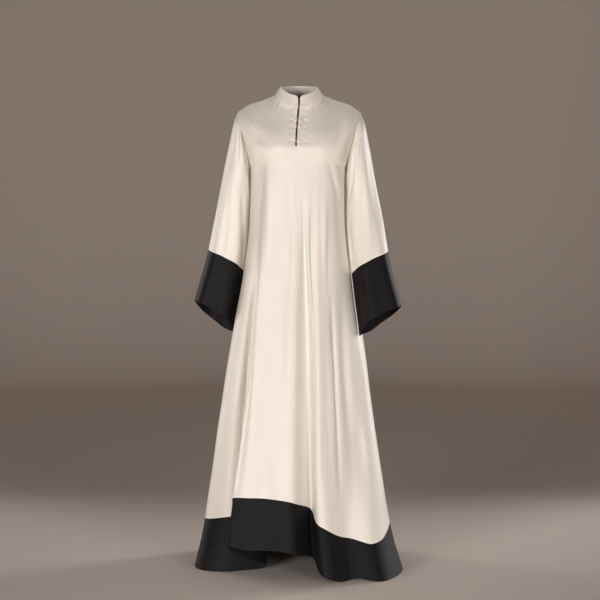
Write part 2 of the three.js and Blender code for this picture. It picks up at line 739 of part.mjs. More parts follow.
// A narrow cord that leaves the other strip, crosses the slit and passes round the button.
function addLoop(name, level) {
  const lift = stripTop + loopClearance + loopRadius;
  const middle = onFront(buttonAngle, level, lift);
  const normal = panelNormal(buttonAngle, level, false);
  const sideways = point(1, 0, 0).projectOnPlane(normal).normalize();
  const upwards = normal.clone().cross(sideways).normalize();
  const tail = onFront(loopTailAngle, level, lift);
  const reach = tail.clone().sub(middle);
  const turnRadius = loopHalfSpread;
  const path = [middle.clone().add(reach).addScaledVector(upwards, loopHalfSpread * 0.45)];
  for (let n = 0; n <= 6; n += 1) {
    const angle = (90 - n * 30) * degrees;
    const spot = middle.clone().addScaledVector(sideways, turnRadius * Math.cos(angle));
    path.push(spot.addScaledVector(upwards, turnRadius * Math.sin(angle)));
  }
  path.push(middle.clone().add(reach).addScaledVector(upwards, -loopHalfSpread * 0.45));
  const section = new THREE.Shape();
  for (let n = 0; n < 5; n += 1) {
    const angle = (n * 72 + 18) * degrees;
    const corner = [loopRadius * Math.cos(angle), loopRadius * Math.sin(angle)];
    if (n) section.lineTo(...corner);
    else section.moveTo(...corner);
  }
  const curve = new THREE.CatmullRomCurve3(path, false, 'centripetal');
  const shape = new THREE.ExtrudeGeometry(section, { steps: 14, extrudePath: curve, bevelEnabled: false });
  addPiece(name, shape, 'cream');
}

addPanel('front_panel', frontColumns, false);
addPanel('back_panel', backColumns, true);
addHemBand('hem_band_front', frontColumns);
addHemBand('hem_band_back', backColumns);
addSleeve('sleeve_right', 'cuff_right', -1, rightSleeveRings);
addSleeve('sleeve_left', 'cuff_left', 1, leftSleeveRings);
addCollar();
addStrip('placket_strip_right', -1);
addStrip('placket_strip_left', 1);
closureHeights.forEach((z, n) => {
  const level = levelAtHeight(z);
  addButton(`button_${n + 1}`, level);
  addLoop(`button_loop_${n + 1}`, level);
});

export default abaya;
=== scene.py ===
import math

import bpy
import numpy as np
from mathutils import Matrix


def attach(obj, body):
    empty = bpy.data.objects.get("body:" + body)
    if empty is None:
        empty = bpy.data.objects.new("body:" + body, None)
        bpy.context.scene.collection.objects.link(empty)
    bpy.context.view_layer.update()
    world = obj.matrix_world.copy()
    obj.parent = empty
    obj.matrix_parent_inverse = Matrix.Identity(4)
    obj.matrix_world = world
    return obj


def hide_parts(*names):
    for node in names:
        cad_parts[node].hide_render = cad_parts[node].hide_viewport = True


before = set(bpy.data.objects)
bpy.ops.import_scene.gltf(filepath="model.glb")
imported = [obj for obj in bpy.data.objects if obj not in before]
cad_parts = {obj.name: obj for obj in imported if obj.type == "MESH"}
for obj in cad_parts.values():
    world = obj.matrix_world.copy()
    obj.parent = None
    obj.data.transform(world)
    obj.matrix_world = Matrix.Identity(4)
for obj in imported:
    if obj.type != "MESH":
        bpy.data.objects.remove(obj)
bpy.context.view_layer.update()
print("frame loaded")

# Lengths are millimetres until a mesh is made. The front faces -Y and the wearer's left is +X.
# A turn is in degrees round the body from the front centre. A level runs from 0 at a panel's top
# edge to 13 at the underarm, 25 at the hem band and 37 at the hem.


def table(columns, rows):
    return {name: np.array([row[i] for row in rows], float) for i, name in enumerate(columns.split())}


def rowsOf(columns):
    count = len(next(iter(columns.values())))
    return [{name: column[n] for name, column in columns.items()} for n in range(count)]


def mix(a, b, t):
    return a + (b - a) * t


def bell(distance, spread):
    return np.exp(-(distance / spread) ** 2)


# The length run along a path, or down each column of a grid, at each of its points.
def runLengths(points):
    steps = np.linalg.norm(np.diff(points, axis=0), axis=-1)
    return np.concatenate([np.zeros((1,) + steps.shape[1:]), np.cumsum(steps, axis=0)])


# A soft curve through values that stand at keys, read at other keys.
def smoothThrough(keys, values, key):
    if keys[-1] < keys[0]:
        keys, values = keys[::-1], values[::-1]
    key = np.clip(np.asarray(key, float), keys[0], keys[-1])
    values = np.asarray(values, float)
    if values.ndim == 1:
        values = values.reshape((-1,) + (1,) * key.ndim)
    values = np.broadcast_to(values, (len(keys),) + key.shape)
    spans = np.diff(keys)
    wide = spans.reshape((-1,) + (1,) * key.ndim)
    slopes = np.diff(values, axis=0) / wide
    tangents = np.concatenate([
        slopes[:1],
        (slopes[:-1] * wide[1:] + slopes[1:] * wide[:-1]) / (wide[1:] + wide[:-1]),
        slopes[-1:],
    ])
    spot = np.clip(np.searchsorted(keys, key, side="right") - 1, 0, len(keys) - 2)
    t = (key - keys[spot]) / spans[spot]

    def pick(array, index):
        return np.take_along_axis(array, index[None], 0)[0]

    low, high = pick(values, spot), pick(values, spot + 1)
    rise = high - low
    a = pick(tangents, spot) * spans[spot] - rise
    b = rise - pick(tangents, spot + 1) * spans[spot]
    return mix(low, high, t) + t * (1 - t) * (a * (1 - t) + b * t)


# The body's form.

body = {
    "floor": -1500,
    "underarm": -234,
    "bodiceLevels": 13,
    "skirtLevels": 12,
    "topFade": 2,
    "cornerSpread": 16,
}
bandLevel = body["bodiceLevels"] + body["skirtLevels"]
smallStep = {"turn": 0.4, "level": 0.05}

neck = {
    "halfWidth": 73,
    "pointDepth": 4,
    "pointHeight": -1,
    "frontReach": 70,
    "frontDrop": 38,
    "backReach": 58,
    "backRise": 3,
    "share": 0.4,
}

shoulder = {"halfWidth": 197, "depth": 6}

bust = {"forward": 13, "height": -172, "across": 74, "spread": 62}

slit = {"halfAngle": 1, "endLevel": 9, "lean": -9, "leanSpread": 24}

bodySections = table("z halfWidth front back fullness shift", [
    [-234, 149, 134, 108, 0.7, -4],
    [-330, 149, 139, 107, 0.74, -6],
    [-432, 153, 143, 110, 0.8, -6],
    [-563, 171, 152, 122, 0.86, -5],
    [-762, 208, 170, 146, 0.92, -5],
    [-976, 241, 194, 176, 1, -8],
    [-1232, 277, 230, 216, 1, -9],
    [-1417, 310, 262, 250, 1, -6],
    [-1500, 333, 280, 275, 1, -3],
])

# Each ridge and valley where it ends at the hem. Lift is the hem's height off the floor there, start
# the height where the fold begins, growth how late it deepens, and band the hem band's depth.
folds = table("turn x y lift start growth band", [
    [-90, -319, 15, 2, -700, 1.35, 155],
    [-78, -331, -62, 0, -700, 1.35, 156],
    [-68, -296, -132, 0, -520, 1.2, 165],
    [-60, -196, -154, 4, -460, 1.1, 172],
    [-54, -100, -106, 10, -420, 1.1, 166],
    [-50, -128, -172, 44, -420, 1.1, 158],
    [-45, -212, -236, 88, -420, 1.1, 149],
    [-33, -150, -275, 92, -520, 1.35, 158],
    [-16, -62, -290, 92, -560, 1.35, 154],
    [-3, -8, -284, 80, -320, 0.9, 154],
    [6, 46, -220, 56, -300, 0.75, 150],
    [13, 61, -288, 28, -300, 0.85, 152],
    [23, 96, -312, 10, -480, 1.2, 150],
    [30, 132, -292, 0, -800, 1.35, 139],
    [38, 172, -264, 5, -1000, 1.35, 121],
    [50, 250, -290, 0, -1080, 1.35, 120],
    [58, 290, -237, 0, -900, 1.35, 123],
    [66, 319, -160, 2, -700, 1.35, 142],
    [90, 317, 20, 2, -700, 1.35, 155],
    [104, 320, 112, 0, -700, 1.35, 155],
    [117, 246, 164, 4, -600, 1.35, 155],
    [130, 240, 250, 0, -560, 1.35, 150],
    [147, 142, 218, 6, -480, 1.35, 158],
    [164, 96, 306, 0, -520, 1.35, 150],
    [182, 2, 232, 10, -440, 1.2, 158],
    [199, -84, 312, 0, -500, 1.35, 150],
    [215, -158, 226, 6, -520, 1.35, 158],
    [231, -236, 262, 0, -560, 1.35, 150],
    [244, -250, 170, 4, -620, 1.35, 155],
    [256, -320, 118, 0, -700, 1.35, 155],
    [270, -319, 15, 2, -700, 1.35, 155],
])

frontArmhole = table("share x y z", [
    [0, 197, 6, -58],
    [0.3, 188, -32, -94],
    [0.6, 174, -50, -146],
    [0.84, 156, -38, -211],
    [0.93, 151, -20, -230],
    [1, 149, 0, -234],
])
backArmhole = table("share x y z", [
    [0, 197, 6, -58],
    [0.3, 188, 44, -96],
    [0.6, 174, 58, -150],
    [0.84, 156, 42, -212],
    [0.93, 151, 22, -230],
    [1, 149, 0, -234],
])
frontCentre = table("share y z", [
    [0, -66, -39],
    [0.3, -93, -93],
    [0.55, -119, -140],
    [0.7, -131, -174],
    [1, -134, -234],
])
backCentre = table("share y z", [
    [0, 62, 2],
    [0.3, 97, -62],
    [0.6, 107, -132],
    [1, 108, -234],
])
shoulderLine = table("share z", [
    [0, -1],
    [0.38, -20],
    [0.76, -36.5],
    [1, -58],
])


def ovalPoint(turn, z):
    section = {name: smoothThrough(bodySections["z"], bodySections[name], z) for name in bodySections}
    sine, cosine = np.sin(np.radians(turn)), np.cos(np.radians(turn))
    reach = np.where(cosine > 0, section["front"], section["back"])
    x = section["shift"] + section["halfWidth"] * sine
    y = -np.sign(cosine) * reach * np.abs(cosine) ** section["fullness"]
    return np.stack([x, y, z + 0 * x], -1)


plainHem = ovalPoint(folds["turn"], body["floor"] + folds["lift"])
foldOffsets = np.stack([folds["x"] - plainHem[:, 0], folds["y"] - plainHem[:, 1]])


def wrapTurn(turn):
    return (turn + 90) % 360 - 90


def skirtPoint(turn, share):
    turn = wrapTurn(turn)
    lift = np.maximum(0, smoothThrough(folds["turn"], folds["lift"], turn))
    z = mix(body["underarm"], body["floor"] + lift, share)
    place = ovalPoint(turn, z)
    spread = (-1,) + (1,) * z.ndim
    start = folds["start"].reshape(spread)
    reach = start - body["floor"] - folds["lift"].reshape(spread)
    grown = np.clip((start - z[None]) / reach, 0, 1) ** folds["growth"].reshape(spread)
    for axis in (0, 1):
        place[..., axis] += smoothThrough(folds["turn"], foldOffsets[axis].reshape(spread) * grown, turn)
    return place


# Measures the band's depth up the cloth from the hem, and gives the share of the skirt where it starts.
def findBandStarts(turns):
    shares = np.linspace(1, 0.8, 81)
    lengths = runLengths(skirtPoint(*np.broadcast_arrays(turns[None], shares[:, None])))
    depths = smoothThrough(folds["turn"], folds["band"], wrapTurn(turns))
    return np.array([np.interp(depths[n], lengths[:, n], shares) for n in range(len(turns))])


bandTurns = np.arange(-90, 270, 0.5)
bandShares = findBandStarts(bandTurns)


def bandStart(turn):
    return np.interp(wrapTurn(turn), bandTurns, bandShares, period=360)


def across(turn, isBack):
    away = (turn - 180) / 90 if isBack else turn / 90
    side = -np.sign(away) if isBack else np.sign(away)
    return side, np.minimum(1, np.abs(away))


def topPoint(turn, isBack):
    side, share = across(turn, isBack)
    sweep = np.radians(np.minimum(share / neck["share"], 1) * 90)
    cosine, sine = np.clip(np.cos(sweep), 0, 1), np.sin(sweep)
    if isBack:
        neckY, neckZ = neck["backReach"] * cosine, neck["backRise"] * cosine
    else:
        neckY, neckZ = -neck["frontReach"] * cosine, -neck["frontDrop"] * cosine ** 1.5
    way = np.clip((share - neck["share"]) / (1 - neck["share"]), 0, 1)
    onNeck = share <= neck["share"]
    shoulderX = mix(neck["halfWidth"], shoulder["halfWidth"], way)
    x = side * np.where(onNeck, neck["halfWidth"] * sine, shoulderX)
    y = np.where(onNeck, neck["pointDepth"] + neckY, mix(neck["pointDepth"], shoulder["depth"], way))
    shoulderZ = smoothThrough(shoulderLine["share"], shoulderLine["z"], way)
    z = np.where(onNeck, neck["pointHeight"] + neckZ, shoulderZ)
    return np.stack([x, y, z], -1)


# The corner at the neck point is soft below the top edge.
def softTop(turn, share, isBack):
    _, away = across(turn, isBack)
    spread = body["cornerSpread"] * np.minimum(1, share * 8) * (1 - away ** 4)
    return sum(topPoint(turn + step * spread, isBack) for step in np.linspace(-1, 1, 9)) / 9


def bodicePoint(turn, share, isBack):
    side, away = across(turn, isBack)
    armhole, centre = (backArmhole, backCentre) if isBack else (frontArmhole, frontCentre)
    bottom = skirtPoint(turn, 0 * turn)
    fade = 1 - (1 - share) ** body["topFade"]
    place = mix(softTop(turn, share, isBack), bottom, fade[..., None])
    edge = away ** 2
    for axis, name in enumerate("xyz"):
        ease = smoothThrough(armhole["share"], armhole[name], share)
        ease = ease - mix(armhole[name][0], armhole[name][-1], fade)
        place[..., axis] += edge * ease * (side if name == "x" else 1)
        if name != "x":
            sag = smoothThrough(centre["share"], centre[name], share)
            place[..., axis] += (1 - edge) * (sag - mix(centre[name][0], centre[name][-1], fade))
    if not isBack:
        fromBust = np.hypot(np.abs(place[..., 0]) - bust["across"], place[..., 2] - bust["height"])
        swell = bust["forward"] * bell(fromBust, bust["spread"]) * (1 - away ** 4)
        place[..., 1] -= swell * np.minimum(1, 4 * (1 - share))
        lean = slit["lean"] * share * bell(turn, slit["leanSpread"])
        place[..., 0] += lean * np.minimum(1, 3 * (1 - share))
    return place


def panelPoint(turn, level, isBack):
    turn, level = np.broadcast_arrays(np.asarray(turn, float), np.asarray(level, float))
    upper = bodicePoint(turn, np.clip(level / body["bodiceLevels"], 0, 1), isBack)
    way = np.maximum(level - body["bodiceLevels"], 0) / body["skirtLevels"]
    start = bandStart(turn)
    lower = skirtPoint(turn, np.where(way <= 1, way * start, mix(start, 1, way - 1)))
    return np.where((level <= body["bodiceLevels"])[..., None], upper, lower)


# Cloth: grids, creases and walls.


def unit(vectors):
    return vectors / np.maximum(np.linalg.norm(vectors, axis=-1, keepdims=True), 1e-9)


def gridNormals(points, closed=False):
    along = np.gradient(points, axis=1)
    if closed:
        ends = points[:, 1] - points[:, -2]
        along[:, 0] = along[:, -1] = ends / 2
    return unit(np.cross(np.gradient(points, axis=0), along))


# Evens out a grid along the cloth's own direction, so that no row or column shows as a kink.
def relaxed(points, passes, strength, closed=False):
    points = points.copy()
    for _ in range(passes):
        if closed:
            around = np.concatenate([points[:, -2:-1], points, points[:, 1:2]], axis=1)
        else:
            around = np.concatenate([points[:, :1], points, points[:, -1:]], axis=1)
        sideways = (around[:, :-2] + around[:, 2:]) / 2 - points
        if not closed:
            sideways[:, 0] = sideways[:, -1] = 0
        upright = np.zeros_like(points)
        upright[1:-1] = (points[:-2] + points[2:]) / 2 - points[1:-1]
        normals = gridNormals(points, closed)
        pull = ((sideways + upright) * normals).sum(-1, keepdims=True) * strength
        pull[0] = 0
        points += normals * pull
    return points


# How strongly each crease acts at the points (u, v). A crease is a soft curve through three spots.
def creaseField(creases, u, v):
    total = np.zeros_like(u)
    steps = np.linspace(0, 1, 17)
    for row in rowsOf(creases):
        bendU = 2 * row["u2"] - (row["u1"] + row["u3"]) / 2
        bendV = 2 * row["v2"] - (row["v1"] + row["v3"]) / 2
        curveU = (1 - steps) ** 2 * row["u1"] + 2 * steps * (1 - steps) * bendU + steps ** 2 * row["u3"]
        curveV = (1 - steps) ** 2 * row["v1"] + 2 * steps * (1 - steps) * bendV + steps ** 2 * row["v3"]
        nearest = np.full(u.shape, np.inf)
        place = np.zeros_like(u)
        for k in range(len(steps) - 1):
            du, dv = curveU[k + 1] - curveU[k], curveV[k + 1] - curveV[k]
            t = np.clip(((u - curveU[k]) * du + (v - curveV[k]) * dv) / (du * du + dv * dv), 0, 1)
            gap = np.hypot(u - curveU[k] - t * du, v - curveV[k] - t * dv)
            closer = gap < nearest
            nearest = np.where(closer, gap, nearest)
            place = np.where(closer, (k + t) / (len(steps) - 1), place)
        peak = row["peak"]
        way = np.where(place < peak, place / peak, (1 - place) / (1 - peak))
        total += row["depth"] * bell(nearest, row["width"]) * (way * way * (3 - 2 * way))
    return total


# Slow, uneven waves of a fraction of a millimetre.
def undulation(u, v, height):
    waves = np.sin(u / 31 + 0.7 * np.sin(v / 83)) * np.sin(v / 127 + 0.9)
    waves += 0.6 * np.sin(u / 17 + v / 240 + 1.3) * np.sin(v / 71 + u / 190)
    waves += 0.4 * np.sin(u / 9.5 - v / 410 + 0.4) * np.sin(v / 49 - 0.8)
    return waves * height


smoothing = {"cloth": 48, "trim": 60, "paper": 30}
weld = 0.00001  # metres


def deselectAll():
    if bpy.context.object and bpy.context.object.mode != "OBJECT":
        bpy.ops.object.mode_set(mode="OBJECT")
    bpy.ops.object.select_all(action="DESELECT")


def readPoints(mesh):
    points = np.empty(len(mesh.vertices) * 3)
    mesh.vertices.foreach_get("co", points)
    return points.reshape(-1, 3)


def writePoints(mesh, points):
    mesh.vertices.foreach_set("co", (points / 1000).ravel())
    mesh.update()


# A mesh on a grid of points in millimetres, without the faces marked as gone.
def makeGrid(name, points, gone=None):
    rows, columns = points.shape[0] - 1, points.shape[1] - 1
    deselectAll()
    bpy.ops.mesh.primitive_grid_add(x_subdivisions=columns, y_subdivisions=rows, size=2)
    piece = bpy.context.object
    piece.name = name
    mesh = piece.data
    flat = readPoints(mesh)
    i = np.rint((1 - flat[:, 1]) / 2 * rows).astype(int)
    j = np.rint((flat[:, 0] + 1) / 2 * columns).astype(int)
    writePoints(mesh, points[i, j])
    if gone is not None:
        corners = np.empty(len(mesh.loops), int)
        mesh.loops.foreach_get("vertex_index", corners)
        corners = corners.reshape(-1, 4)
        faceGone = gone[i[corners].min(1), j[corners].min(1)]
        bpy.context.tool_settings.mesh_select_mode = (False, False, True)
        bpy.ops.object.mode_set(mode="EDIT")
        bpy.ops.mesh.select_all(action="DESELECT")
        bpy.ops.object.mode_set(mode="OBJECT")
        mesh.polygons.foreach_set("select", faceGone)
        bpy.ops.object.mode_set(mode="EDIT")
        bpy.ops.mesh.delete(type="FACE")
        bpy.ops.object.mode_set(mode="OBJECT")
    return piece


# Joins the points that meet, closes the ends that are open, and turns the faces outwards.
def closeUp(inside=False, endSides=0):
    bpy.ops.object.mode_set(mode="EDIT")
    bpy.ops.mesh.select_all(action="SELECT")
    bpy.ops.mesh.remove_doubles(threshold=weld)
    if endSides:
        bpy.ops.mesh.fill_holes(sides=endSides)
        bpy.ops.mesh.select_all(action="SELECT")
    bpy.ops.mesh.normals_make_consistent(inside=inside)
    bpy.ops.object.mode_set(mode="OBJECT")


def smooth(kind):
    bpy.ops.object.shade_smooth_by_angle(angle=math.radians(smoothing[kind]))


# A sheet of cloth with a real thickness. A closed sheet's last column repeats its first.
def makeSheet(name, points, thickness, closed=False, gone=None):
    piece = makeGrid(name, points, gone)
    if closed:
        closeUp()
    bpy.ops.object.modifier_add(type="SOLIDIFY")
    wall = piece.modifiers[-1]
    wall.thickness = thickness / 1000
    wall.offset = 0
    bpy.ops.object.modifier_apply(modifier=wall.name)
    smooth("cloth")
    return piece


def finishPiece(piece, material, slot, *nodes):
    piece.data.materials.clear()
    piece.data.materials.append(material)
    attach(piece, "root")
    if nodes:
        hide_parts(*nodes)


def gridSize(points):
    down = runLengths(points)[-1].max()
    along = runLengths(points.swapaxes(0, 1))[-1].max()
    a = points[1:, 1:] - points[:-1, :-1]
    b = points[1:, :-1] - points[:-1, 1:]
    area = np.linalg.norm(np.cross(a, b), axis=-1).sum() / 2
    return f"{along / 1000:.3f} x {down / 1000:.3f} m, {area / 1e6:.4f} m2"


# Finishes.


# A shader socket that can be added to and multiplied like a number.
class Signal:
    def __init__(self, finish, socket):
        self.finish = finish
        self.socket = socket

    def __add__(self, other):
        return self.finish.maths("ADD", self, other)

    def __radd__(self, other):
        return self.finish.maths("ADD", other, self)

    def __mul__(self, other):
        return self.finish.maths("MULTIPLY", self, other)

    def __rmul__(self, other):
        return self.finish.maths("MULTIPLY", other, self)


class Finish:
    def __init__(self, name):
        self.material = bpy.data.materials.new(name)
        self.material.use_nodes = True
        self.tree = self.material.node_tree
        self.shader = next(node for node in self.tree.nodes if node.type == "BSDF_PRINCIPLED")

    def node(self, kind, settings, inputs):
        made = self.tree.nodes.new(kind)
        for name, value in settings.items():
            setattr(made, name, value)
        for name, value in inputs.items():
            self.feed(made.inputs[name], value)
        return made

    def feed(self, socket, value):
        if isinstance(value, Signal):
            self.tree.links.new(value.socket, socket)
        else:
            socket.default_value = value

    def maths(self, operation, a, b):
        made = self.node("ShaderNodeMath", {"operation": operation}, {0: a, 1: b})
        return Signal(self, made.outputs[0])

    def noise(self, scale, stretch):
        where = Signal(self, self.node("ShaderNodeTexCoord", {}, {}).outputs["Object"])
        stretched = self.node("ShaderNodeVectorMath", {"operation": "MULTIPLY"}, {0: where, 1: stretch})
        made = self.node("ShaderNodeTexNoise", {}, {
            "Vector": Signal(self, stretched.outputs[0]),
            "Scale": scale,
            "Detail": 2,
            "Roughness": 0.5,
        })
        return Signal(self, made.outputs["Fac"])

    def blend(self, factor, a, b):
        made = self.node("ShaderNodeMix", {"data_type": "RGBA"}, {0: factor, 6: (*a, 1), 7: (*b, 1)})
        return Signal(self, made.outputs[2])

    def bump(self, height, strength, distance):
        made = self.node("ShaderNodeBump", {}, {
            "Height": height,
            "Strength": strength,
            "Distance": distance,
        })
        self.feed(self.shader.inputs["Normal"], Signal(self, made.outputs["Normal"]))

    def set(self, inputs):
        for name, value in inputs.items():
            self.feed(self.shader.inputs[name], value)


creamSatin = {
    "light": (0.85, 0.785, 0.705),
    "deep": (0.80, 0.73, 0.645),
    "cloudScale": 9,
    "cloudStretch": (1, 1, 0.35),
    "weaveScale": 900,
    "weaveStretch": (1, 1, 0.3),
    "weaveHeight": 0.12,
    "roughness": 0.47,
    "roughnessRange": 0.06,
    "specular": 0.5,
    "sheen": 0.08,
    "sheenRoughness": 0.35,
    "sheenTint": (1, 0.93, 0.82),
}

blackSatin = {
    "light": (0.0085, 0.0076, 0.0077),
    "deep": (0.0058, 0.0052, 0.0053),
    "cloudScale": 14,
    "cloudStretch": (1, 1, 0.5),
    "weaveScale": 1100,
    "weaveStretch": (1, 1, 0.4),
    "weaveHeight": 0.15,
    "roughness": 0.62,
    "roughnessRange": 0.08,
    "specular": 0.16,
    "sheen": 0.01,
    "sheenRoughness": 0.4,
    "sheenTint": (1, 0.96, 0.94),
}

weaveDepth = 0.0004


# Slightly clouded satin, with a fine weave that runs along the cloth.
def makeSatin(name, satin):
    finish = Finish(name)
    cloudy = finish.noise(satin["cloudScale"], satin["cloudStretch"])
    weave = finish.noise(satin["weaveScale"], satin["weaveStretch"])
    smoothest = satin["roughness"] - satin["roughnessRange"] / 2
    finish.set({
        "Base Color": finish.blend(cloudy, satin["deep"], satin["light"]),
        "Roughness": smoothest + satin["roughnessRange"] * weave,
        "Specular IOR Level": satin["specular"],
        "Sheen Weight": satin["sheen"],
        "Sheen Roughness": satin["sheenRoughness"],
        "Sheen Tint": (*satin["sheenTint"], 1),
    })
    finish.bump(weave, satin["weaveHeight"], weaveDepth)
    return finish.material


cream = makeSatin("creamSatin", creamSatin)
black = makeSatin("blackSatin", blackSatin)
print("finishes made")

# Front and back, each with its hem band.

panels = {
    "thickness": 1.2,
    "bandThickness": 1.6,
    "seamGap": 0.3,
    "seamDip": 0.6,
    "seamDipReach": 4,
    "lowest": -1499.6,
    "undulation": 0.5,
    "settleReach": 9,
    "bodiceRows": 84,
    "skirtRows": 112,
    "skirtPlain": 0.985,
    "bandRows": 26,
    "bandPlain": (0.09, 0.98),
    "seamShares": (0.991, 0.9955, 0.9985),
    "bandStartShares": (0, 0.008, 0.025, 0.055),
    "evenPasses": 14,
    "evenBodice": 0.45,
    "evenSkirt": 0.3,
    "skirtFromLevel": 16,
    "frontFlat": (1.33, 1.455),
    "frontArea": 0.93,
    "backFlat": (1.03, 1.395),
    "backArea": 0.795,
    "bandFrontFlat": (1.52, 0.172),
    "bandBackFlat": (1.19, 0.158),
}

# A crease runs through three spots on the cloth and is deepest at its peak, a share of its length.
# On the panels u is across and v is the height. A depth below 0 is a trough.
creaseColumns = "u1 v1 u2 v2 u3 v3 width depth peak"

frontCreases = table(creaseColumns, [
    # drapes from the shoulders to the bust
    [-165, -66, -152, -100, -138, -132, 8, 2.2, 0.4],
    [-158, -92, -136, -132, -112, -168, 12, -3.2, 0.6],
    [-132, -82, -124, -106, -110, -134, 8, 1.4, 0.5],
    [-150, -104, -124, -154, -78, -160, 13, -2.6, 0.55],
    [-172, -120, -158, -170, -148, -226, 9, -3, 0.6],
    [-92, -60, -84, -95, -82, -130, 12, -2, 0.4],
    [132, -64, 108, -110, 84, -160, 9, 2, 0.5],
    [118, -68, 106, -96, 92, -124, 6, -1.4, 0.5],
    [146, -84, 130, -122, 110, -164, 9, -2.4, 0.5],
    [168, -68, 144, -140, 108, -226, 10, 2.4, 0.5],
    [172, -116, 156, -168, 144, -222, 9, -3, 0.6],
    [-100, -170, 0, -177, 84, -170, 11, 3.4, 0.5],
    # drapes that hang from the bust
    [38, -290, 42, -700, 46, -1420, 12, -13, 0.45],
    [56, -230, 57, -500, 58, -960, 8, 2, 0.6],
    [-116, -160, -130, -340, -146, -640, 18, -10, 0.45],
    [-114, -212, -131, -310, -149, -410, 8, 3, 0.5],
    [-98, -190, -98, -400, -104, -700, 12, 4, 0.4],
    [-30, -240, -30, -430, -36, -720, 11, -4, 0.5],
    [2, -230, 4, -450, 0, -760, 10, 4, 0.5],
    [79, -290, 81, -440, 84, -640, 9, 4, 0.5],
    [87, -400, 89, -520, 93, -660, 8, -2.4, 0.5],
    [88, -206, 112, -290, 137, -392, 8, -3.4, 0.5],
    [102, -196, 124, -286, 142, -384, 8, 2.6, 0.5],
    [120, -300, 128, -420, 146, -620, 11, -5, 0.5],
    # ripples of the skirt
    [-134, -480, -166, -960, -212, -1410, 14, -17, 0.5],
    [-118, -520, -146, -900, -186, -1320, 10, 2.5, 0.5],
    [-96, -940, -98, -1140, -102, -1340, 14, 2.4, 0.6],
    [-40, -820, -44, -1080, -48, -1330, 14, -2, 0.5],
    [62, -700, 63, -1040, 66, -1340, 8, 2, 0.6],
    [84, -560, 98, -960, 112, -1330, 9, 4, 0.5],
    [98, -560, 114, -960, 130, -1330, 8, -7, 0.5],
    [132, -520, 146, -900, 172, -1300, 16, -9, 0.5],
    [230, -1000, 250, -1180, 266, -1380, 14, 3, 0.6],
    [-230, -900, -246, -1080, -262, -1300, 10, -4, 0.5],
    # puckers under the collar seam
    [-64, -20, -72, -40, -84, -62, 5, -1.6, 0.25],
    [-57, -27, -64, -45, -74, -66, 4, 0.9, 0.25],
    [-50, -32, -57, -48, -66, -68, 4.5, -1.4, 0.25],
    [-38, -38, -42, -54, -48, -74, 4.5, -1.1, 0.25],
    [-26, -42, -29, -54, -33, -68, 3.6, -0.8, 0.25],
    [28, -42, 31, -54, 35, -68, 3.6, -0.7, 0.25],
    [42, -37, 48, -53, 54, -72, 4.5, -1.3, 0.25],
    [56, -28, 65, -44, 76, -64, 5, -1.5, 0.25],
    # puckers beside the buttons and loops
    [-13, -49, -24, -51, -38, -58, 3.2, -1.7, 0.3],
    [-13, -68, -22, -70, -33, -74, 3.4, -1.2, 0.3],
    [-14, -89, -26, -91, -42, -97, 3.4, -1.9, 0.3],
    [-15, -108, -25, -112, -36, -119, 3.2, -1.5, 0.3],
    [-16, -128, -26, -131, -36, -134, 3.6, -1.2, 0.3],
    [-17, -154, -29, -158, -44, -165, 3.6, -1.9, 0.3],
    [13, -50, 25, -54, 38, -61, 3.2, -1.7, 0.3],
    [12, -72, 21, -74, 30, -79, 3.4, -1.1, 0.3],
    [11, -90, 24, -94, 40, -101, 3.4, -1.8, 0.3],
    [10, -113, 20, -117, 31, -124, 3.2, -1.4, 0.3],
    [9, -134, 18, -136, 28, -140, 3.6, -1.1, 0.3],
    [8, -158, 20, -162, 35, -170, 3.6, -1.8, 0.3],
])

backCreases = table(creaseColumns, [
    [-118, -60, -124, -140, -130, -224, 14, -4, 0.6],
    [112, -58, 120, -136, 128, -220, 14, -4, 0.6],
    [-160, -90, -154, -160, -144, -226, 9, 2.6, 0.6],
    [158, -92, 152, -158, 144, -224, 9, 2.6, 0.6],
    [-40, -20, -46, -80, -44, -150, 13, -1.6, 0.4],
    [52, -18, 50, -76, 54, -140, 13, -1.8, 0.4],
    [-22, -190, -26, -420, -30, -800, 18, -4.4, 0.5],
    [52, -200, 57, -450, 66, -820, 18, 3.2, 0.5],
    [-78, -220, -84, -500, -88, -780, 16, 3, 0.4],
    [98, -250, 103, -500, 122, -840, 14, -3.6, 0.5],
    [-126, -280, -140, -520, -164, -820, 12, -3.2, 0.5],
    [14, -240, 12, -480, 16, -700, 12, 2, 0.4],
    [-104, -900, -112, -1120, -120, -1330, 14, 2.4, 0.6],
    [40, -860, 46, -1100, 50, -1340, 12, -2.4, 0.5],
    [176, -900, 190, -1100, 200, -1340, 13, 2.6, 0.6],
    [-200, -880, -214, -1100, -230, -1340, 12, -2.6, 0.6],
])


def stepsBetween(marks):
    turns = [np.linspace(start, end, steps, endpoint=False) for start, end, steps in marks]
    return np.concatenate(turns + [[marks[-1][1]]])


def bodyLevels():
    bodice = np.linspace(0, body["bodiceLevels"], panels["bodiceRows"], endpoint=False)
    skirt = np.append(np.linspace(0, panels["skirtPlain"], panels["skirtRows"]), panels["seamShares"])
    plainBand = np.linspace(*panels["bandPlain"], panels["bandRows"])
    band = np.concatenate([panels["bandStartShares"], plainBand, [1]])
    skirt = body["bodiceLevels"] + body["skirtLevels"] * skirt
    return np.concatenate([bodice, skirt, bandLevel + body["skirtLevels"] * band])


gridLevels = bodyLevels()
seamRow = int(np.argmin(np.abs(gridLevels - bandLevel)))


# The distance of each grid point from the nearest of the sheet's sewn edges.
def edgeDistance(points):
    along = runLengths(points.swapaxes(0, 1)).T
    sides = np.minimum(along, along[:, -1:] - along)
    down = runLengths(points)
    return np.minimum(np.minimum(sides, down), np.abs(down - down[seamRow]))


